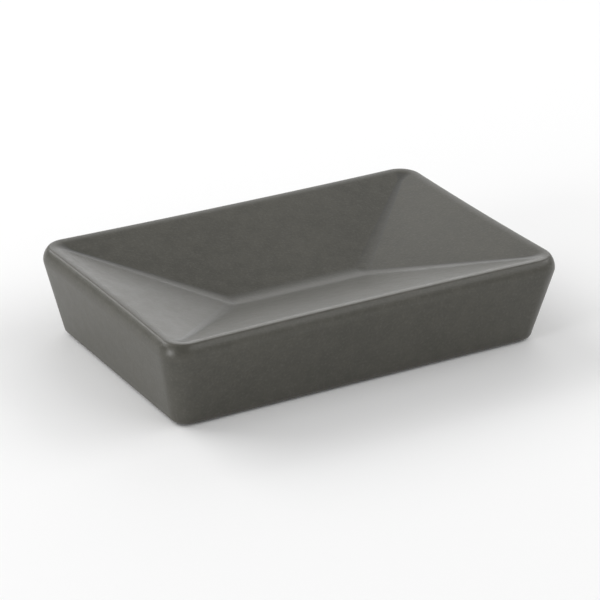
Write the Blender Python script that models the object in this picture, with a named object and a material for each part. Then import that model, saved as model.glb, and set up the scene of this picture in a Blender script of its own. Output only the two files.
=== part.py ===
"""Rectangular ceramic soap dish on four rubber pads.

The body is a hollow casting. Its four walls lean outward from a small base to a soft rim, and its
basin is four flat slopes that run down to a short valley along the middle. X is the length, Y the
width and Z is up. The origin is at the middle of the footprint, on the surface that the dish stands on.
"""

import math

import bmesh
import bpy

# Rim size before the sides are drawn in, and overall height, in metres
LENGTH = 0.140
WIDTH = 0.0912
HEIGHT = 0.0294

# Outer wall
WALL_LEAN = math.radians(13.3)
BASE_EDGE_RADIUS = 0.002
BASE_CORNER_RADIUS = 0.0053
RIM_CORNER_RADIUS = 0.0088
TIGHTEST_CORNER_RADIUS = 0.001
END_WALL_HOLLOW = 0.0008
LONG_WALL_HOLLOW = 0.0010

# Rim and basin
SHOULDER_RADIUS = 0.0056
CREST_RADIUS = 0.0010
CREST_START = math.radians(40)
RIM_INNER_RADIUS = 0.0085
BASIN_DEPTH = 0.0136
VALLEY_LENGTH = 0.0454
VALLEY_RADIUS = 0.014
VALLEY_FLAT_WIDTH = 0.0008
CREASE_RADIUS_AT_RIM = 0.001
CREASE_RADIUS_AT_VALLEY = 0.004

# Cavity inside the casting
WALL_THICKNESS = 0.005
FLOOR_THICKNESS = 0.005
BASIN_THICKNESS = 0.0053
RIM_THICKNESS = 0.008
VENT_DIAMETER = 0.0035

# Rubber pads and their seats
PAD_DIAMETER = 0.008
PAD_THICKNESS = 0.0015
PAD_STAND_OFF = 0.0005
PAD_EDGE_RADIUS = 0.0003
PAD_INSET_FROM_END = 0.020
PAD_INSET_FROM_SIDE = 0.0206
SEAT_GAP = 0.0003

CUT_OVERRUN = 0.001

# Heights and insets on the outer wall and rim, worked out from the sizes above
BASE_EDGE_CENTRE = PAD_STAND_OFF + BASE_EDGE_RADIUS
CREST_INSET = CREST_RADIUS * math.cos(CREST_START) + SHOULDER_RADIUS * (1 - math.cos(CREST_START))
CREST_CENTRE = HEIGHT - CREST_RADIUS
CREST_FOOT = CREST_CENTRE + CREST_RADIUS * math.sin(CREST_START)
SHOULDER_CENTRE = CREST_FOOT - SHOULDER_RADIUS * math.sin(CREST_START)
WALL_FOOT = BASE_EDGE_CENTRE - BASE_EDGE_RADIUS * math.sin(WALL_LEAN)
WALL_TOP = SHOULDER_CENTRE - SHOULDER_RADIUS * math.sin(WALL_LEAN)

# Mesh steps
CORNER_STEPS = 6
LONG_SIDE_STEPS = 8
SHORT_SIDE_STEPS = 6
BASE_EDGE_STEPS = 4
WALL_STEPS = 3
SHOULDER_STEPS = 5
CREST_STEPS = 3
RIM_INNER_STEPS = 4
SLOPE_STEPS = 5
VALLEY_STEPS = 5
CEILING_STEPS = 4
ROUND_STEPS = 32
PAD_EDGE_STEPS = 3
SMOOTH_ANGLE = math.radians(35)


def clear_scene():
    for thing in list(bpy.data.objects):
        bpy.data.objects.remove(thing, do_unlink=True)


def make_material(name, colour, roughness):
    material = bpy.data.materials.new(name)
    material.use_nodes = True
    shader = material.node_tree.nodes["Principled BSDF"]
    shader.inputs["Base Color"].default_value = (*colour, 1.0)
    shader.inputs["Roughness"].default_value = roughness
    shader.inputs["Metallic"].default_value = 0.0
    return material


def satin_anthracite_glaze():
    return make_material("satin_anthracite_glaze", (0.055, 0.054, 0.049), 0.35)


def grey_rubber():
    return make_material("grey_rubber", (0.05, 0.05, 0.05), 0.75)


def between(start, end, share):
    return start + (end - start) * share


def round_run(radius, drop):
    """How far an arc of this radius has turned inward, this far above or below its centre."""
    return radius - math.sqrt(max(radius ** 2 - drop ** 2, 0.0))


def corner_arcs(half_length, half_width, radius):
    """The four round corners, each a list of points, going round from the back right one."""
    arcs = []
    for turn, (side_x, side_y) in enumerate(((1, 1), (-1, 1), (-1, -1), (1, -1))):
        centre_x = side_x * (half_length - radius)
        centre_y = side_y * (half_width - radius)
        arc = []
        for step in range(CORNER_STEPS + 1):
            angle = (turn + step / CORNER_STEPS) * math.pi / 2
            arc.append((centre_x + radius * math.cos(angle), centre_y + radius * math.sin(angle)))
        arcs.append(arc)
    return arcs


def outline(half_length, half_width, corner_radius, height, end_hollow, long_hollow):
    """One level outline: a rectangle with round corners, its sides drawn inward at their middles."""
    arcs = corner_arcs(half_length, half_width, min(corner_radius, half_length, half_width))
    points = []
    for turn, arc in enumerate(arcs):
        points += arc
        start = arc[-1]
        end = arcs[(turn + 1) % len(arcs)][0]
        steps = LONG_SIDE_STEPS if turn % 2 == 0 else SHORT_SIDE_STEPS
        for step in range(1, steps):
            points.append((between(start[0], end[0], step / steps), between(start[1], end[1], step / steps)))
    drawn_in = []
    for x, y in points:
        kept_x = 1 - end_hollow / half_length * (1 - (y / half_width) ** 2)
        kept_y = 1 - long_hollow / half_width * (1 - (x / half_length) ** 2)
        drawn_in.append((x * kept_x, y * kept_y, height))
    return drawn_in


def rise_share(height):
    return (height - PAD_STAND_OFF) / (HEIGHT - PAD_STAND_OFF)


def wall_levels():
    """Heights of the outer wall's outlines, from the flat of the base to the crest of the rim."""
    levels = []
    for step in range(BASE_EDGE_STEPS):
        angle = between(math.pi / 2, WALL_LEAN, step / BASE_EDGE_STEPS)
        levels.append(BASE_EDGE_CENTRE - BASE_EDGE_RADIUS * math.sin(angle))
    for step in range(WALL_STEPS):
        levels.append(between(WALL_FOOT, WALL_TOP, step / WALL_STEPS))
    for step in range(SHOULDER_STEPS):
        angle = between(-WALL_LEAN, CREST_START, step / SHOULDER_STEPS)
        levels.append(SHOULDER_CENTRE + SHOULDER_RADIUS * math.sin(angle))
    for step in range(CREST_STEPS + 1):
        angle = between(CREST_START, math.pi / 2, step / CREST_STEPS)
        levels.append(CREST_CENTRE + CREST_RADIUS * math.sin(angle))
    return levels


def wall_inset(height):
    """How far the outer wall lies inside its widest outline, at this height."""
    if height > CREST_FOOT:
        return CREST_INSET - CREST_RADIUS + round_run(CREST_RADIUS, height - CREST_CENTRE)
    if height >= WALL_TOP:
        return round_run(SHOULDER_RADIUS, height - SHOULDER_CENTRE)
    top_inset = round_run(SHOULDER_RADIUS, WALL_TOP - SHOULDER_CENTRE)
    if height >= WALL_FOOT:
        return top_inset + (WALL_TOP - height) * math.tan(WALL_LEAN)
    foot_inset = top_inset + (WALL_TOP - WALL_FOOT) * math.tan(WALL_LEAN)
    turned = round_run(BASE_EDGE_RADIUS, BASE_EDGE_CENTRE - height)
    return foot_inset + turned - round_run(BASE_EDGE_RADIUS, BASE_EDGE_CENTRE - WALL_FOOT)


def wall_corner(height):
    """Radius of the wall's round corners at this height, smaller where an edge turns inward."""
    corner = between(BASE_CORNER_RADIUS, RIM_CORNER_RADIUS, rise_share(height))
    if height > SHOULDER_CENTRE:
        return corner - wall_inset(height)
    if height < BASE_EDGE_CENTRE:
        return corner - round_run(BASE_EDGE_RADIUS, BASE_EDGE_CENTRE - height)
    return corner


def wall_outline(height, inward=0.0):
    """The outer wall at this height, or a copy of it moved inward."""
    inset = wall_inset(height) + inward
    return outline(
        LENGTH / 2 - inset,
        WIDTH / 2 - inset,
        max(wall_corner(height) - inward, TIGHTEST_CORNER_RADIUS),
        height,
        END_WALL_HOLLOW * rise_share(height),
        LONG_WALL_HOLLOW * rise_share(height),
    )


def slope_angle(half_size, half_valley):
    """Angle of a basin slope that starts at the valley and meets the rim's inner curve smoothly."""
    run = half_size - CREST_INSET - half_valley
    rise = BASIN_DEPTH - RIM_INNER_RADIUS
    return math.atan2(rise, run) + math.asin(RIM_INNER_RADIUS / math.hypot(run, rise))


def slope_heights(angle):
    """Where a slope's top curve, its flat and its rounded valley end, from the top down."""
    curve_end = HEIGHT - RIM_INNER_RADIUS * (1 - math.cos(angle))
    valley_rise = VALLEY_RADIUS * math.tan(angle) ** 2 / 2
    floor = HEIGHT - BASIN_DEPTH + valley_rise
    return curve_end, floor + valley_rise, floor


def basin_levels():
    """Heights of the basin's outlines, from just inside the rim's crest down to the valley."""
    angle = slope_angle(WIDTH / 2, 0.0)
    curve_end, slope_end, floor = slope_heights(angle)
    valley_half_width = VALLEY_RADIUS * math.tan(angle)
    levels = []
    for step in range(1, RIM_INNER_STEPS + 1):
        levels.append(HEIGHT - RIM_INNER_RADIUS * (1 - math.cos(angle * step / RIM_INNER_STEPS)))
    for step in range(1, SLOPE_STEPS + 1):
        levels.append(between(curve_end, slope_end, step / SLOPE_STEPS))
    for step in range(1, VALLEY_STEPS + 1):
        half_width = between(valley_half_width, VALLEY_FLAT_WIDTH / 2, step / VALLEY_STEPS)
        levels.append(floor + half_width ** 2 / (2 * VALLEY_RADIUS))
    return levels


def basin_reach(height, half_size, half_valley):
    """Half the basin's extent at this height, along one axis."""
    angle = slope_angle(half_size, half_valley)
    curve_end, slope_end, floor = slope_heights(angle)
    if height >= curve_end:
        below_crest = HEIGHT - height
        crest = half_size - CREST_INSET
        return crest - RIM_INNER_RADIUS + round_run(RIM_INNER_RADIUS, RIM_INNER_RADIUS - below_crest)
    if height >= slope_end:
        return half_valley + (height - HEIGHT + BASIN_DEPTH) / math.tan(angle)
    return half_valley + math.sqrt(2 * VALLEY_RADIUS * max(height - floor, 0.0))


def basin_outline(height, below=0.0):
    """The basin at this height, or a copy of it set lower in the casting."""
    depth_share = (HEIGHT - height) / BASIN_DEPTH
    half_width = basin_reach(height, WIDTH / 2, 0.0)
    crease = between(CREASE_RADIUS_AT_RIM, CREASE_RADIUS_AT_VALLEY, depth_share)
    return outline(
        basin_reach(height, LENGTH / 2, VALLEY_LENGTH / 2),
        half_width,
        max(crease, RIM_CORNER_RADIUS - WIDTH / 2 + half_width),
        height - below,
        END_WALL_HOLLOW * (1 - depth_share),
        LONG_WALL_HOLLOW * (1 - depth_share),
    )


def closed_loft(name, outlines):
    """A closed solid through level outlines that all have the same number of points."""
    maker = bmesh.new()
    rings = [[maker.verts.new(point) for point in ring] for ring in outlines]
    count = len(rings[0])
    for lower, upper in zip(rings, rings[1:]):
        for index in range(count):
            following = (index + 1) % count
            maker.faces.new((lower[index], lower[following], upper[following], upper[index]))
    bmesh.ops.triangulate(maker, faces=maker.faces)
    maker.faces.new(list(reversed(rings[0])))
    maker.faces.new(rings[-1])
    bmesh.ops.recalc_face_normals(maker, faces=maker.faces)
    mesh = bpy.data.meshes.new(name)
    maker.to_mesh(mesh)
    maker.free()
    mesh.shade_smooth()
    mesh.set_sharp_from_angle(angle=SMOOTH_ANGLE)
    return mesh


def turned_solid(name, profile):
    """A closed solid turned round Z from (radius, height) points, bottom to top."""
    rings = []
    for radius, height in profile:
        angles = [2 * math.pi * step / ROUND_STEPS for step in range(ROUND_STEPS)]
        rings.append([(radius * math.cos(angle), radius * math.sin(angle), height) for angle in angles])
    return closed_loft(name, rings)


def place(name, mesh, location=(0.0, 0.0, 0.0)):
    thing = bpy.data.objects.new(name, mesh)
    thing.location = location
    bpy.context.scene.collection.objects.link(thing)
    return thing


def cut(body, cutter):
    cutter.hide_render = True
    cutter.display_type = "WIRE"
    modifier = body.modifiers.new("cut_" + cutter.name, "BOOLEAN")
    modifier.operation = "DIFFERENCE"
    modifier.solver = "EXACT"
    modifier.object = cutter


def pad_places():
    """Each pad's side and its middle, as seen from the front of the dish."""
    across = LENGTH / 2 - PAD_INSET_FROM_END
    away = WIDTH / 2 - PAD_INSET_FROM_SIDE
    return [
        ("front_left", (-across, -away, 0.0)),
        ("front_right", (across, -away, 0.0)),
        ("back_left", (-across, away, 0.0)),
        ("back_right", (across, away, 0.0)),
    ]


def make_cavity():
    """The hollow of the casting: flat floor, leaning sides, and a ceiling that follows the basin."""
    floor = PAD_STAND_OFF + FLOOR_THICKNESS
    top = HEIGHT - RIM_THICKNESS
    outlines = [wall_outline(floor, WALL_THICKNESS), wall_outline(top, WALL_THICKNESS)]
    for step in range(CEILING_STEPS + 1):
        nearness_share = 1 - (1 - step / CEILING_STEPS) ** 2
        level = between(top + BASIN_THICKNESS, basin_levels()[-1], nearness_share)
        outlines.append(basin_outline(level, BASIN_THICKNESS))
    return place("cavity_cutter", closed_loft("cavity_cutter", outlines))


def make_vent():
    """The small hole in the middle of the base that lets the cavity breathe."""
    radius = VENT_DIAMETER / 2
    top = PAD_STAND_OFF + FLOOR_THICKNESS + CUT_OVERRUN
    return place("vent_cutter", turned_solid("vent_cutter", [(radius, -CUT_OVERRUN), (radius, top)]))


def make_pad_seats():
    radius = PAD_DIAMETER / 2 + SEAT_GAP
    top = PAD_THICKNESS + SEAT_GAP
    mesh = turned_solid("seat_cutter", [(radius, -CUT_OVERRUN), (radius, top)])
    return [place("seat_cutter_" + side, mesh, location) for side, location in pad_places()]


def make_body():
    outlines = [wall_outline(level) for level in wall_levels()]
    outlines += [basin_outline(level) for level in basin_levels()]
    mesh = closed_loft("dish_body", outlines)
    mesh.materials.append(satin_anthracite_glaze())
    body = place("dish_body", mesh)
    for cutter in [make_cavity(), make_vent()] + make_pad_seats():
        cut(body, cutter)


def make_pads():
    profile = []
    for step in range(PAD_EDGE_STEPS + 1):
        angle = math.pi / 2 * step / PAD_EDGE_STEPS
        edge_in = PAD_EDGE_RADIUS * (1 - math.sin(angle))
        profile.append((PAD_DIAMETER / 2 - edge_in, PAD_EDGE_RADIUS * (1 - math.cos(angle))))
    profile.append((PAD_DIAMETER / 2, PAD_THICKNESS))
    mesh = turned_solid("pad", profile)
    mesh.materials.append(grey_rubber())
    for side, location in pad_places():
        place("pad_" + side, mesh, location)


clear_scene()
make_body()
make_pads()
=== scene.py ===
import math
from typing import NamedTuple

import bmesh
import bpy
from mathutils import Matrix, Vector, noise


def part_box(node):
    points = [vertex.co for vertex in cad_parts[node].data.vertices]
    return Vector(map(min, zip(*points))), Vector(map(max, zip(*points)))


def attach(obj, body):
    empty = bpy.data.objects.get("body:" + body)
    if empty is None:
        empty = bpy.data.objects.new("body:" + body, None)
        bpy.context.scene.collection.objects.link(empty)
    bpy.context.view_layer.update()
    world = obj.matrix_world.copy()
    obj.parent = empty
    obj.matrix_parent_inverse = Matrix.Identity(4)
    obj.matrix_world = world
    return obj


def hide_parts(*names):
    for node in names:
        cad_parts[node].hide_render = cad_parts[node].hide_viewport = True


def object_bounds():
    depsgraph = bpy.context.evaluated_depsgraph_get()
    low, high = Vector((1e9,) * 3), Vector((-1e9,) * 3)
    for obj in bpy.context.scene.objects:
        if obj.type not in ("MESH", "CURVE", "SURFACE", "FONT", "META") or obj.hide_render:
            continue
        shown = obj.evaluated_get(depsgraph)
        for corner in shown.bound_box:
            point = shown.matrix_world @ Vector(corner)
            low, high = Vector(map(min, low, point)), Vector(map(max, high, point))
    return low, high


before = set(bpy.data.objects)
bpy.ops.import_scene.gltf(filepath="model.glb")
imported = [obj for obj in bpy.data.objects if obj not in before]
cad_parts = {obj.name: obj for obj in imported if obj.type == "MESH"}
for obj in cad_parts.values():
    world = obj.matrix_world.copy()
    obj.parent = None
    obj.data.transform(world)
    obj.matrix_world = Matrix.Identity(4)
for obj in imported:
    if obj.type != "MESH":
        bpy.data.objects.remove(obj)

CAD_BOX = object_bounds()

# Rim size before the sides are drawn in, and overall height, in metres
LENGTH = 0.140
WIDTH = 0.0912
HEIGHT = CAD_BOX[1][2]

# Outer wall
WALL_LEAN = math.radians(13.3)
BASE_EDGE_RADIUS = 0.002
BASE_CORNER_RADIUS = 0.0053
RIM_CORNER_RADIUS = 0.0088
TIGHTEST_CORNER_RADIUS = 0.001
END_WALL_HOLLOW = 0.0008
LONG_WALL_HOLLOW = 0.0010

# Rim and basin
SHOULDER_RADIUS = 0.0056
CREST_RADIUS = 0.0010
CREST_START = math.radians(40)
RIM_INNER_RADIUS = 0.0085
BASIN_DEPTH = 0.0136
VALLEY_LENGTH = 0.0454
VALLEY_RADIUS = 0.014
VALLEY_FLAT_WIDTH = 0.0004
CREASE_RADIUS_AT_RIM = 0.001
CREASE_RADIUS_AT_VALLEY = 0.004

# Cavity inside the casting
WALL_THICKNESS = 0.005
FLOOR_THICKNESS = 0.005
BASIN_THICKNESS = 0.0053
RIM_THICKNESS = 0.008
VENT_DIAMETER = 0.0035

# Underside
PAD_STAND_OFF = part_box("dish_body")[0][2]
SEAT_GAP = 0.0003
BARE_BAND_WIDTH = 0.003
PAD_EDGE_RADIUS = 0.0003
PAD_NAMES = ("pad_front_left", "pad_front_right", "pad_back_left", "pad_back_right")

# Unevenness of the casting, always inward
WAVE_HEIGHT = 0.00006
WAVE_LENGTH = 0.030

# A bend this tight counts as a full edge or a full hollow
TIGHT_BEND_RADIUS = 0.003

# Glaze and clay
DRIFT_SIZE = 0.030
MOTTLE_SIZE = 0.004
SAND_SIZE = 0.0008
GRIT_SIZE = 0.0004
SAND_HEIGHT = 0.000008
GRIT_HEIGHT = 0.000004
RIPPLE_HEIGHT = 0.000010
GLAZE_THICKNESS = 0.0002
CLAY_GRAIN_HEIGHT = 0.00002

# Rubber
RUBBER_GRAIN_SIZE = 0.0005
RUBBER_GRAIN_HEIGHT = 0.00002

# Colours, as linear red, green, blue and alpha
GLAZE_DARK = (0.043, 0.0415, 0.0325, 1.0)
GLAZE_PALE = (0.067, 0.064, 0.051, 1.0)
GLAZE_FLECK = (0.085, 0.082, 0.071, 1.0)
GLAZE_THIN = (0.085, 0.080, 0.067, 1.0)
GLAZE_POOLED = (0.042, 0.042, 0.040, 1.0)
CLAY_DARK = (0.34, 0.30, 0.25, 1.0)
CLAY_PALE = (0.46, 0.42, 0.36, 1.0)
IRON_SPECK = (0.10, 0.07, 0.05, 1.0)
RUBBER_DARK = (0.035, 0.035, 0.036, 1.0)
RUBBER_PALE = (0.055, 0.055, 0.055, 1.0)
RUBBER_DUST = (0.16, 0.155, 0.145, 1.0)

# Roughness before the grain of each finish is added
GLAZE_ROUGHNESS = 0.32
CLAY_ROUGHNESS = 0.85
RUBBER_ROUGHNESS = 0.65
FLOOR_ROUGHNESS = 0.9

# Heights and insets on the outer wall and rim, worked out from the sizes above
BASE_EDGE_CENTRE = PAD_STAND_OFF + BASE_EDGE_RADIUS
CREST_INSET = CREST_RADIUS * math.cos(CREST_START) + SHOULDER_RADIUS * (1 - math.cos(CREST_START))
CREST_CENTRE = HEIGHT - CREST_RADIUS
CREST_FOOT = CREST_CENTRE + CREST_RADIUS * math.sin(CREST_START)
SHOULDER_CENTRE = CREST_FOOT - SHOULDER_RADIUS * math.sin(CREST_START)
WALL_FOOT = BASE_EDGE_CENTRE - BASE_EDGE_RADIUS * math.sin(WALL_LEAN)
WALL_TOP = SHOULDER_CENTRE - SHOULDER_RADIUS * math.sin(WALL_LEAN)

# Mesh steps
CORNER_STEPS = 14
LONG_SIDE_STEPS = 56
SHORT_SIDE_STEPS = 36
BASE_EDGE_STEPS = 8
WALL_STEPS = 14
SHOULDER_STEPS = 14
CREST_STEPS = 10
RIM_INNER_STEPS = 12
SLOPE_STEPS = 20
VALLEY_STEPS = 12
CEILING_STEPS = 8
ROUND_STEPS = 64
PAD_EDGE_STEPS = 6
MERGE_DISTANCE = 0.000001
SMOOTH_ANGLE = math.radians(35)

# The photograph's view
CAMERA_AZIMUTH = math.radians(-30.95)
CAMERA_ELEVATION = math.radians(24.57)
CAMERA_ROLL = math.radians(0.82)
CAMERA_DISTANCE = 0.86085
CAMERA_TARGET = Vector((-0.00222, -0.00466, 0.0145))
CAMERA_NEAREST = 0.01
CAMERA_LENS_MM = 164.73
SENSOR_WIDTH_MM = 36.0

# Studio
FLOOR_REACH = 8.0
FLOOR_ALBEDO = 0.91
ROOM_BRIGHTNESS = 0.50
SOFTBOX_DISTANCE = 2.0


class Softbox(NamedTuple):
    """A flat studio light that faces the dish. Azimuth 0 is +X and 90 is +Y, and the size is in metres."""
    name: str
    azimuth: float
    elevation: float
    width: float
    height: float
    brightness: float


SOFTBOXES = (
    Softbox("low_box_behind", azimuth=55.0, elevation=11.5, width=1.46, height=0.78, brightness=1.5),
    Softbox("low_box_left", azimuth=190.0, elevation=11.5, width=0.63, height=0.78, brightness=9.0),
    Softbox("middle_box_behind", azimuth=55.0, elevation=34.0, width=1.34, height=0.85, brightness=0.83),
    Softbox("strip_behind_left", azimuth=105.0, elevation=34.0, width=0.60, height=0.85, brightness=4.0),
    Softbox("middle_box_behind_left", azimuth=135.0, elevation=34.0, width=1.22, height=0.85, brightness=4.1),
    Softbox("middle_box_front_right", azimuth=300.0, elevation=34.0, width=1.22, height=0.85, brightness=1.7),
    Softbox("middle_box_right", azimuth=345.0, elevation=34.0, width=1.22, height=0.85, brightness=2.7),
)


def between(start, end, share):
    return start + (end - start) * share


def round_run(radius, drop):
    """How far an arc of this radius has turned inward, this far above or below its centre."""
    return radius - math.sqrt(max(radius ** 2 - drop ** 2, 0.0))


def corner_arcs(half_length, half_width, radius):
    """The four round corners, each a list of points, going round from the back right one."""
    arcs = []
    for turn, (side_x, side_y) in enumerate(((1, 1), (-1, 1), (-1, -1), (1, -1))):
        centre_x = side_x * (half_length - radius)
        centre_y = side_y * (half_width - radius)
        arc = []
        for step in range(CORNER_STEPS + 1):
            angle = (turn + step / CORNER_STEPS) * math.pi / 2
            arc.append((centre_x + radius * math.cos(angle), centre_y + radius * math.sin(angle)))
        arcs.append(arc)
    return arcs


def outline(half_length, half_width, corner_radius, height, end_hollow, long_hollow):
    """One level outline: a rectangle with round corners, its sides drawn inward at their middles."""
    arcs = corner_arcs(half_length, half_width, min(corner_radius, half_length, half_width))
    points = []
    for turn, arc in enumerate(arcs):
        points += arc
        start = arc[-1]
        end = arcs[(turn + 1) % len(arcs)][0]
        steps = LONG_SIDE_STEPS if turn % 2 == 0 else SHORT_SIDE_STEPS
        for step in range(1, steps):
            points.append((between(start[0], end[0], step / steps), between(start[1], end[1], step / steps)))
    drawn_in = []
    for x, y in points:
        kept_x = 1 - end_hollow / half_length * (1 - (y / half_width) ** 2)
        kept_y = 1 - long_hollow / half_width * (1 - (x / half_length) ** 2)
        drawn_in.append((x * kept_x, y * kept_y, height))
    return drawn_in


def rise_share(height):
    return (height - PAD_STAND_OFF) / (HEIGHT - PAD_STAND_OFF)


def wall_levels():
    """Heights of the outer wall's outlines, from the flat of the base to the crest of the rim."""
    levels = []
    for step in range(BASE_EDGE_STEPS):
        angle = between(math.pi / 2, WALL_LEAN, step / BASE_EDGE_STEPS)
        levels.append(BASE_EDGE_CENTRE - BASE_EDGE_RADIUS * math.sin(angle))
    for step in range(WALL_STEPS):
        levels.append(between(WALL_FOOT, WALL_TOP, step / WALL_STEPS))
    for step in range(SHOULDER_STEPS):
        angle = between(-WALL_LEAN, CREST_START, step / SHOULDER_STEPS)
        levels.append(SHOULDER_CENTRE + SHOULDER_RADIUS * math.sin(angle))
    for step in range(CREST_STEPS + 1):
        angle = between(CREST_START, math.pi / 2, step / CREST_STEPS)
        levels.append(CREST_CENTRE + CREST_RADIUS * math.sin(angle))
    return levels


def wall_inset(height):
    """How far the outer wall lies inside its widest outline, at this height."""
    if height > CREST_FOOT:
        return CREST_INSET - CREST_RADIUS + round_run(CREST_RADIUS, height - CREST_CENTRE)
    if height >= WALL_TOP:
        return round_run(SHOULDER_RADIUS, height - SHOULDER_CENTRE)
    top_inset = round_run(SHOULDER_RADIUS, WALL_TOP - SHOULDER_CENTRE)
    if height >= WALL_FOOT:
        return top_inset + (WALL_TOP - height) * math.tan(WALL_LEAN)
    foot_inset = top_inset + (WALL_TOP - WALL_FOOT) * math.tan(WALL_LEAN)
    turned = round_run(BASE_EDGE_RADIUS, BASE_EDGE_CENTRE - height)
    return foot_inset + turned - round_run(BASE_EDGE_RADIUS, BASE_EDGE_CENTRE - WALL_FOOT)


def wall_corner(height):
    """Radius of the wall's round corners at this height, smaller where an edge turns inward."""
    corner = between(BASE_CORNER_RADIUS, RIM_CORNER_RADIUS, rise_share(height))
    if height > SHOULDER_CENTRE:
        return corner - wall_inset(height)
    if height < BASE_EDGE_CENTRE:
        return corner - round_run(BASE_EDGE_RADIUS, BASE_EDGE_CENTRE - height)
    return corner


def wall_outline(height, inward=0.0):
    """The outer wall at this height, or a copy of it moved inward."""
    inset = wall_inset(height) + inward
    return outline(
        LENGTH / 2 - inset,
        WIDTH / 2 - inset,
        max(wall_corner(height) - inward, TIGHTEST_CORNER_RADIUS),
        height,
        END_WALL_HOLLOW * rise_share(height),
        LONG_WALL_HOLLOW * rise_share(height),
    )


def slope_angle(half_size, half_valley):
    """Angle of a basin slope that starts at the valley and meets the rim's inner curve smoothly."""
    run = half_size - CREST_INSET - half_valley
    rise = BASIN_DEPTH - RIM_INNER_RADIUS
    return math.atan2(rise, run) + math.asin(RIM_INNER_RADIUS / math.hypot(run, rise))


def slope_heights(angle):
    """Where a slope's top curve, its flat and its rounded valley end, from the top down."""
    curve_end = HEIGHT - RIM_INNER_RADIUS * (1 - math.cos(angle))
    valley_rise = VALLEY_RADIUS * math.tan(angle) ** 2 / 2
    floor = HEIGHT - BASIN_DEPTH + valley_rise
    return curve_end, floor + valley_rise, floor


def basin_levels():
    """Heights of the basin's outlines, from just inside the rim's crest down to the valley."""
    angle = slope_angle(WIDTH / 2, 0.0)
    curve_end, slope_end, floor = slope_heights(angle)
    valley_half_width = VALLEY_RADIUS * math.tan(angle)
    levels = []
    for step in range(1, RIM_INNER_STEPS + 1):
        levels.append(HEIGHT - RIM_INNER_RADIUS * (1 - math.cos(angle * step / RIM_INNER_STEPS)))
    for step in range(1, SLOPE_STEPS + 1):
        levels.append(between(curve_end, slope_end, step / SLOPE_STEPS))
    for step in range(1, VALLEY_STEPS + 1):
        half_width = between(valley_half_width, VALLEY_FLAT_WIDTH / 2, step / VALLEY_STEPS)
        levels.append(floor + half_width ** 2 / (2 * VALLEY_RADIUS))
    return levels


def basin_reach(height, half_size, half_valley):
    """Half the basin's extent at this height, along one axis."""
    angle = slope_angle(half_size, half_valley)
    curve_end, slope_end, floor = slope_heights(angle)
    if height >= curve_end:
        below_crest = HEIGHT - height
        crest = half_size - CREST_INSET
        return crest - RIM_INNER_RADIUS + round_run(RIM_INNER_RADIUS, RIM_INNER_RADIUS - below_crest)
    if height >= slope_end:
        return half_valley + (height - HEIGHT + BASIN_DEPTH) / math.tan(angle)
    return half_valley + math.sqrt(2 * VALLEY_RADIUS * max(height - floor, 0.0))


def basin_outline(height, below=0.0):
    """The basin at this height, or a copy of it set lower in the casting."""
    depth_share = (HEIGHT - height) / BASIN_DEPTH
    half_width = basin_reach(height, WIDTH / 2, 0.0)
    crease = between(CREASE_RADIUS_AT_RIM, CREASE_RADIUS_AT_VALLEY, depth_share)
    return outline(
        basin_reach(height, LENGTH / 2, VALLEY_LENGTH / 2),
        half_width,
        max(crease, RIM_CORNER_RADIUS - WIDTH / 2 + half_width),
        height - below,
        END_WALL_HOLLOW * (1 - depth_share),
        LONG_WALL_HOLLOW * (1 - depth_share),
    )


def circle(middle, radius, height):
    points = []
    for step in range(ROUND_STEPS):
        angle = 2 * math.pi * step / ROUND_STEPS
        points.append((middle[0] + radius * math.cos(angle), middle[1] + radius * math.sin(angle), height))
    return points


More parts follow.
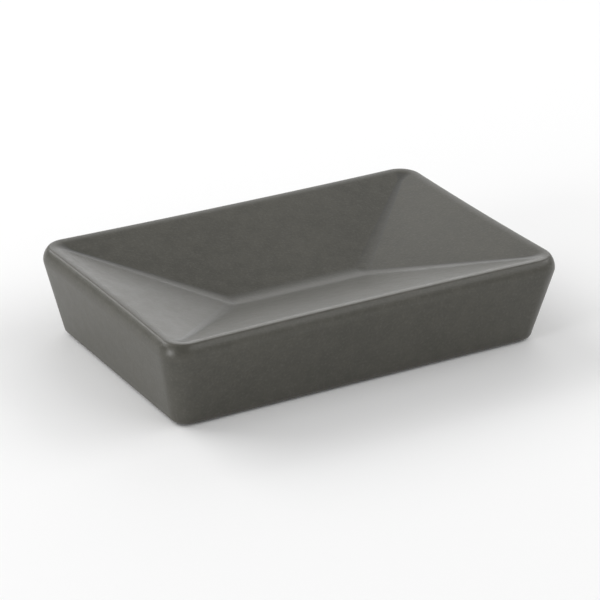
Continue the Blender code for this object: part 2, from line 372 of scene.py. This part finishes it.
class Casting:
    """A closed mesh made ring by ring. Each point carries how bare of glaze it is, from 0 to 1, and
    how tightly the surface bends there, from 1 on an edge to -1 in a hollow."""

    def __init__(self):
        self.maker = bmesh.new()
        self.bareness = self.maker.verts.layers.float.new("bareness")
        self.bend = self.maker.verts.layers.float.new("bend")

    def ring(self, points, bareness):
        verts = [self.maker.verts.new(point) for point in points]
        for vert in verts:
            vert[self.bareness] = bareness
        return verts

    def join(self, first, second):
        """A strip of faces between two rings that have the same number of points."""
        for index in range(len(first)):
            after = (index + 1) % len(first)
            self.maker.faces.new((first[index], first[after], second[after], second[index]))

    def loft(self, start, outlines, bareness):
        """Carries a ring on through more outlines, and gives back the last ring."""
        for points in outlines:
            following = self.ring(points, bareness)
            self.join(start, following)
            start = following
        return start

    def cap(self, ring):
        self.maker.faces.new(ring)

    def plate(self, outer, holes):
        """A flat face inside one ring, with the other rings left open in it."""
        edges = []
        for ring in [outer] + holes:
            for index, vert in enumerate(ring):
                after = ring[(index + 1) % len(ring)]
                edges.append(self.maker.edges.get((vert, after)) or self.maker.edges.new((vert, after)))
        bmesh.ops.triangle_fill(self.maker, use_beauty=True, use_dissolve=False, edges=edges)

    def mark_bends(self):
        for vert in self.maker.verts:
            strongest = 0.0
            for edge in vert.link_edges:
                first, second = edge.link_faces
                apart = (first.calc_center_median() - second.calc_center_median()).length
                bend = edge.calc_face_angle_signed() * TIGHT_BEND_RADIUS / apart
                strongest = max(strongest, bend, key=abs)
            vert[self.bend] = min(max(strongest, -1.0), 1.0)

    def press_waves(self):
        """Presses the glazed surface in by a slow wave, so that it isn't perfectly regular."""
        moves = []
        for vert in self.maker.verts:
            wave_share = (1 + noise.noise(vert.co / WAVE_LENGTH)) / 2
            moves.append(vert.normal * WAVE_HEIGHT * wave_share * (1 - vert[self.bareness]))
        for vert, move in zip(self.maker.verts, moves):
            vert.co -= move

    def close(self):
        """Merges points that fall together where the valley narrows, and turns all faces outward."""
        bmesh.ops.remove_doubles(self.maker, verts=self.maker.verts, dist=MERGE_DISTANCE)
        bmesh.ops.recalc_face_normals(self.maker, faces=self.maker.faces)
        self.maker.normal_update()

    def finish(self, name):
        mesh = bpy.data.meshes.new(name)
        self.maker.to_mesh(mesh)
        self.maker.free()
        mesh.shade_smooth()
        mesh.set_sharp_from_angle(angle=SMOOTH_ANGLE)
        piece = bpy.data.objects.new(name, mesh)
        bpy.context.scene.collection.objects.link(piece)
        return piece


def pad_middle(node):
    low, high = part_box(node)
    return ((low[0] + high[0]) / 2, (low[1] + high[1]) / 2)


def pad_radius(node):
    low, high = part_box(node)
    return (high[0] - low[0]) / 2


def add_skin(casting):
    """The glazed outside, from the flat of the base over the rim and down into the valley."""
    foot = casting.ring(wall_outline(PAD_STAND_OFF), 0.0)
    outlines = [wall_outline(level) for level in wall_levels()[1:]]
    outlines += [basin_outline(level) for level in basin_levels()]
    casting.cap(casting.loft(foot, outlines, 0.0))
    return foot


def add_underside(casting, foot):
    """The bare base, with a seat for each pad and the mouth of the vent."""
    inner_foot = casting.loft(foot, [wall_outline(PAD_STAND_OFF, BARE_BAND_WIDTH)], 1.0)
    mouths = []
    for node in PAD_NAMES:
        middle = pad_middle(node)
        radius = pad_radius(node) + SEAT_GAP
        seat_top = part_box(node)[1][2] + SEAT_GAP
        mouth = casting.ring(circle(middle, radius, PAD_STAND_OFF), 1.0)
        casting.cap(casting.loft(mouth, [circle(middle, radius, seat_top)], 1.0))
        mouths.append(mouth)
    vent_mouth = casting.ring(circle((0.0, 0.0), VENT_DIAMETER / 2, PAD_STAND_OFF), 1.0)
    casting.plate(inner_foot, mouths + [vent_mouth])
    return vent_mouth


def add_cavity(casting, vent_mouth):
    """The hollow of the casting, reached through the vent."""
    floor = PAD_STAND_OFF + FLOOR_THICKNESS
    top = HEIGHT - RIM_THICKNESS
    vent_top = casting.loft(vent_mouth, [circle((0.0, 0.0), VENT_DIAMETER / 2, floor)], 1.0)
    floor_edge = casting.ring(wall_outline(floor, WALL_THICKNESS), 1.0)
    casting.plate(floor_edge, [vent_top])
    outlines = [wall_outline(top, WALL_THICKNESS)]
    for step in range(CEILING_STEPS + 1):
        nearness_share = 1 - (1 - step / CEILING_STEPS) ** 2
        level = between(top + BASIN_THICKNESS, basin_levels()[-1], nearness_share)
        outlines.append(basin_outline(level, BASIN_THICKNESS))
    casting.cap(casting.loft(floor_edge, outlines, 1.0))


def make_body():
    casting = Casting()
    foot = add_skin(casting)
    vent_mouth = add_underside(casting, foot)
    add_cavity(casting, vent_mouth)
    casting.close()
    casting.mark_bends()
    casting.press_waves()
    body = casting.finish("glazed_body")
    body.data.materials.append(satin_glaze())
    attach(body, "root")
    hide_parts("dish_body")
    return body


def make_pad(node):
    middle = pad_middle(node)
    radius = pad_radius(node)
    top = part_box(node)[1][2]
    casting = Casting()
    profile = []
    for step in range(PAD_EDGE_STEPS + 1):
        angle = math.pi / 2 * step / PAD_EDGE_STEPS
        edge_in = PAD_EDGE_RADIUS * (1 - math.sin(angle))
        profile.append(circle(middle, radius - edge_in, PAD_EDGE_RADIUS * (1 - math.cos(angle))))
    profile.append(circle(middle, radius, top))
    sole = casting.ring(profile[0], 0.0)
    casting.cap(sole)
    casting.cap(casting.loft(sole, profile[1:], 0.0))
    casting.close()
    pad = casting.finish("rubber_" + node)
    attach(pad, "root")
    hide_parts(node)
    return pad


class Shade:
    """A socket in a material's node tree. Arithmetic on it adds Math nodes."""

    def __init__(self, tree, socket=None):
        self.tree = tree
        self.socket = socket

    def node(self, kind, settings=None, values=None, output=0):
        """Adds a node: its settings come first, then the values or links of its sockets."""
        made = self.tree.nodes.new("ShaderNode" + kind)
        for name, setting in (settings or {}).items():
            setattr(made, name, setting)
        for name, value in (values or {}).items():
            if isinstance(value, Shade):
                self.tree.links.new(value.socket, made.inputs[name])
            else:
                made.inputs[name].default_value = value
        return Shade(self.tree, made.outputs[output])

    def math(self, operation, first, second=0.0):
        return self.node("Math", {"operation": operation}, {0: first, 1: second})

    def __add__(self, other):
        return self.math("ADD", self, other)

    __radd__ = __add__

    def __sub__(self, other):
        return self.math("SUBTRACT", self, other)

    def __rsub__(self, other):
        return self.math("SUBTRACT", other, self)

    def __mul__(self, other):
        return self.math("MULTIPLY", self, other)

    __rmul__ = __mul__

    def step_up(self, low, high):
        """0 below low, 1 above high, with a smooth rise between."""
        values = {"Value": self, "From Min": low, "From Max": high}
        return self.node("MapRange", {"interpolation_type": "SMOOTHSTEP"}, values)

    def tint(self, plain, full):
        """The plain colour where this shade is 0, and the full colour where it is 1."""
        return self.node("Mix", {"data_type": "RGBA"}, {0: self, 6: plain, 7: full}, output=2)

    def cloud(self, size, detail=2.0):
        """Soft noise that fills 0 to 1 at this place, with patches about this size."""
        noise_here = self.node("TexNoise", None, {"Vector": self, "Scale": 1 / size, "Detail": detail})
        return noise_here.step_up(0.3, 0.7)

    def marked(self, name):
        """A value that the mesh carries at each point."""
        return self.node("Attribute", {"attribute_name": name}, output="Fac")

    def relief(self):
        """A bumped normal from this height in metres."""
        return self.node("Bump", None, {"Strength": 1.0, "Distance": 1.0, "Height": self})


def new_finish(name):
    """A material with its Principled shader, and the place on the piece as a shade."""
    material = bpy.data.materials.new(name)
    material.use_nodes = True
    shader = material.node_tree.nodes["Principled BSDF"]
    place = Shade(material.node_tree).node("TexCoord", output="Object")
    return material, shader, place


def feed(shader, name, shade):
    shade.tree.links.new(shade.socket, shader.inputs[name])


def glaze_look(place):
    """Colour, roughness and height of the glaze: mottled and sandy, thin on edges, pooled in hollows."""
    drift = place.cloud(DRIFT_SIZE)
    mottle = place.cloud(MOTTLE_SIZE, detail=3.0)
    sand = place.cloud(SAND_SIZE)
    grit = place.cloud(GRIT_SIZE)
    bend = place.marked("bend")
    thin = bend.step_up(0.3, 1.6) * (0.4 + 0.6 * mottle)
    pooled = bend.step_up(-0.05, -0.5)
    pale_fleck = sand.step_up(0.85, 1.0)
    cloudy = 0.3 * drift + 0.35 * mottle + 0.35 * sand
    colour = cloudy.tint(GLAZE_DARK, GLAZE_PALE)
    colour = (0.3 * pale_fleck).tint(colour, GLAZE_FLECK)
    colour = thin.tint(colour, GLAZE_THIN)
    colour = (0.6 * pooled).tint(colour, GLAZE_POOLED)
    roughness = GLAZE_ROUGHNESS + 0.05 * mottle + 0.03 * drift + 0.05 * thin - 0.04 * pooled
    height = SAND_HEIGHT * sand + GRIT_HEIGHT * grit + RIPPLE_HEIGHT * mottle
    return colour, roughness, height


def clay_look(place):
    """Colour and height of the bare fired clay: buff, grainy, with small iron specks."""
    grain = place.cloud(SAND_SIZE, detail=3.0)
    cloudy = place.cloud(MOTTLE_SIZE, detail=3.0)
    iron = place.cloud(GRIT_SIZE).step_up(0.9, 1.0)
    colour = (0.5 * grain + 0.5 * cloudy).tint(CLAY_DARK, CLAY_PALE)
    colour = (0.7 * iron).tint(colour, IRON_SPECK)
    return colour, CLAY_GRAIN_HEIGHT * grain


def satin_glaze():
    """The glaze over the clay, ending in an uneven line under the base."""
    material, shader, place = new_finish("satin_anthracite_glaze")
    glaze_colour, glaze_roughness, glaze_height = glaze_look(place)
    clay_colour, clay_height = clay_look(place)
    uneven = 0.4 * place.cloud(MOTTLE_SIZE, detail=3.0)
    bare = (place.marked("bareness") + uneven).step_up(0.65, 0.75)
    feed(shader, "Base Color", bare.tint(glaze_colour, clay_colour))
    feed(shader, "Roughness", glaze_roughness + (CLAY_ROUGHNESS - glaze_roughness) * bare)
    height = glaze_height + (clay_height - glaze_height - GLAZE_THICKNESS) * bare
    feed(shader, "Normal", height.relief())
    return material


def pad_rubber():
    """Dark grey moulded rubber with a fine grain and a little dust."""
    material, shader, place = new_finish("grey_rubber")
    grain = place.cloud(RUBBER_GRAIN_SIZE, detail=3.0)
    dust = place.cloud(MOTTLE_SIZE, detail=4.0)
    colour = grain.tint(RUBBER_DARK, RUBBER_PALE)
    feed(shader, "Base Color", (0.3 * dust).tint(colour, RUBBER_DUST))
    feed(shader, "Roughness", RUBBER_ROUGHNESS + 0.15 * grain + 0.1 * dust)
    feed(shader, "Normal", (RUBBER_GRAIN_HEIGHT * grain).relief())
    return material


def direction_to(azimuth, elevation):
    """A unit vector from the dish towards this place in the room, the angles in degrees."""
    turn = math.radians(azimuth)
    rise = math.radians(elevation)
    return Vector((math.cos(turn) * math.cos(rise), math.sin(turn) * math.cos(rise), math.sin(rise)))


def make_floor():
    maker = bmesh.new()
    bmesh.ops.create_grid(maker, x_segments=1, y_segments=1, size=FLOOR_REACH)
    mesh = bpy.data.meshes.new("floor")
    maker.to_mesh(mesh)
    maker.free()
    floor = bpy.data.objects.new("floor", mesh)
    bpy.context.scene.collection.objects.link(floor)
    material = bpy.data.materials.new("pale_floor")
    material.use_nodes = True
    shader = material.node_tree.nodes["Principled BSDF"]
    shader.inputs["Base Color"].default_value = (FLOOR_ALBEDO, FLOOR_ALBEDO, FLOOR_ALBEDO, 1.0)
    shader.inputs["Roughness"].default_value = FLOOR_ROUGHNESS
    mesh.materials.append(material)


def make_room():
    world = bpy.data.worlds.new("studio")
    bpy.context.scene.world = world
    world.use_nodes = True
    world.node_tree.nodes["Background"].inputs["Color"].default_value = (1.0, 1.0, 1.0, 1.0)
    world.node_tree.nodes["Background"].inputs["Strength"].default_value = ROOM_BRIGHTNESS


def make_softbox(box):
    lamp = bpy.data.lights.new(box.name, "AREA")
    lamp.shape = "RECTANGLE"
    lamp.size = box.width
    lamp.size_y = box.height
    lamp.energy = math.pi * box.width * box.height * box.brightness
    towards = direction_to(box.azimuth, box.elevation)
    holder = bpy.data.objects.new(box.name, lamp)
    holder.location = towards * SOFTBOX_DISTANCE
    holder.rotation_euler = towards.to_track_quat("Z", "Y").to_euler()
    holder.visible_camera = False
    bpy.context.scene.collection.objects.link(holder)


def make_camera():
    """The photograph's view, from its azimuth, elevation, roll and distance."""
    flat = math.cos(CAMERA_ELEVATION)
    back = Vector((
        math.sin(CAMERA_AZIMUTH) * flat,
        -math.cos(CAMERA_AZIMUTH) * flat,
        math.sin(CAMERA_ELEVATION),
    ))
    right = Vector((math.cos(CAMERA_AZIMUTH), math.sin(CAMERA_AZIMUTH), 0.0))
    level = Matrix((right, back.cross(right), back)).transposed()
    turned = level @ Matrix.Rotation(CAMERA_ROLL, 3, "Z")
    data = bpy.data.cameras.new("camera")
    data.sensor_width = SENSOR_WIDTH_MM
    data.lens = CAMERA_LENS_MM
    data.clip_start = CAMERA_NEAREST
    camera = bpy.data.objects.new("camera", data)
    camera.matrix_world = Matrix.Translation(CAMERA_TARGET + back * CAMERA_DISTANCE) @ turned.to_4x4()
    bpy.context.scene.collection.objects.link(camera)
    bpy.context.scene.camera = camera


make_camera()
make_body()
rubber = pad_rubber()
for pad_name in PAD_NAMES:
    make_pad(pad_name).data.materials.append(rubber)
make_floor()
make_room()
for box in SOFTBOXES:
    make_softbox(box)
bpy.context.scene.view_settings.view_transform = "Standard"
